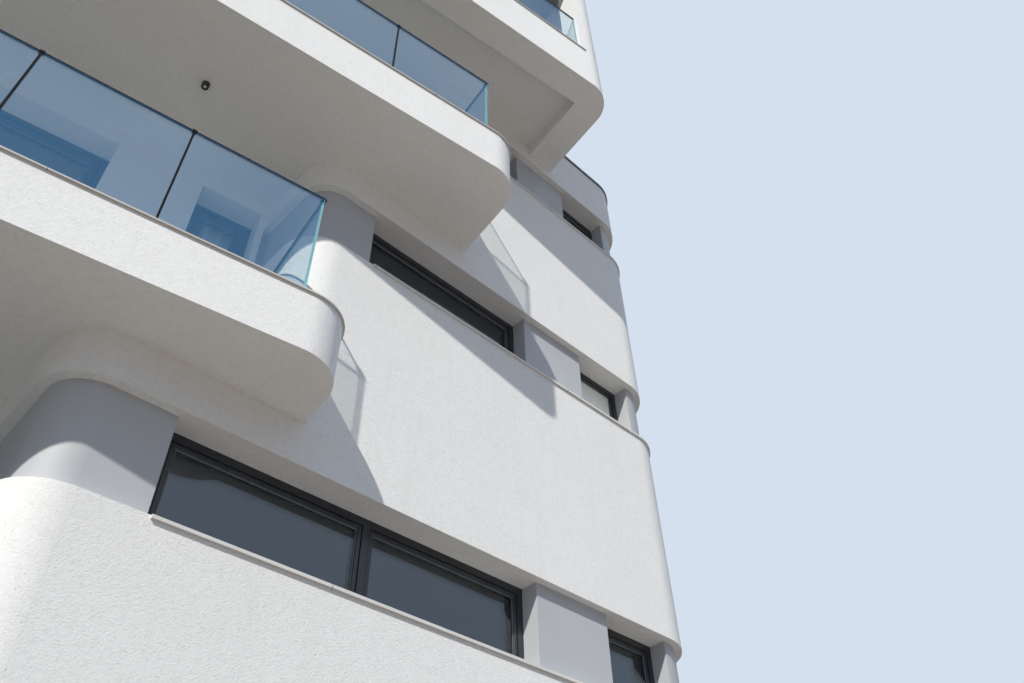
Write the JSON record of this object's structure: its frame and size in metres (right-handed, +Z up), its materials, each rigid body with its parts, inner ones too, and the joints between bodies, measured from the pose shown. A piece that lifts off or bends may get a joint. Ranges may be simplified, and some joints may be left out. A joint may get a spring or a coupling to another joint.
{
  "type": "apartment block with five storeys",
  "caption": "White apartment block with rounded bands, ribbon windows, grey panels and balconies that grow wider upwards.",
  "frame": {"origin": "middle of the ground footprint, at ground level", "axes": "+Z up, the street front with the balconies faces -Y, +X along the front"},
  "size_m": [17.516, 13.034, 15.74],
  "materials": {
    "render": "rough",
    "grey_panel": "satin",
    "dark_frame": "satin",
    "glass": "clear",
    "rail_glass": "clear",
    "metal_sill": "satin",
    "coping": "matte",
    "dark_coping": "satin",
    "slab": "matte",
    "door": "satin",
    "lamp": "satin"
  },
  "bodies": {
    "root": {"balcony_copings": "coping", "balcony_glass_1": "rail_glass", "balcony_glass_2": "rail_glass", "balcony_glass_3": "rail_glass", "balcony_slab_1": "render", "balcony_slab_2": "render", "balcony_slab_3": "render", "band_0": "render", "band_1": "render", "band_2": "render", "band_3": "render", "ceiling_lamps": "lamp", "crown_band": "render", "entrance_door": "door", "entrance_steps": "slab", "floor_slab_1": "slab", "floor_slab_2": "slab", "floor_slab_3": "slab", "floor_slab_4": "slab", "grey_panels_0": "grey_panel", "grey_panels_1": "grey_panel", "grey_panels_2": "grey_panel", "grey_panels_3": "grey_panel", "grey_panels_top": "grey_panel", "loggia_glass": "rail_glass", "loggia_wall": "render", "plinth": "slab", "recess_wall_0": "render", "recess_wall_1": "render", "recess_wall_2": "render", "recess_wall_3": "render", "roof_copings": "dark_coping", "roof_slab": "slab", "top_soffit": "render", "top_wall": "render", "window_frames_0": "dark_frame", "window_frames_1": "dark_frame", "window_frames_2": "dark_frame", "window_frames_3": "dark_frame", "window_frames_top": "dark_frame", "window_glass_0": "glass", "window_glass_1": "glass", "window_glass_2": "glass", "window_glass_3": "glass", "window_glass_top": "glass", "window_sills": "metal_sill"}
  },
  "joints": []
}
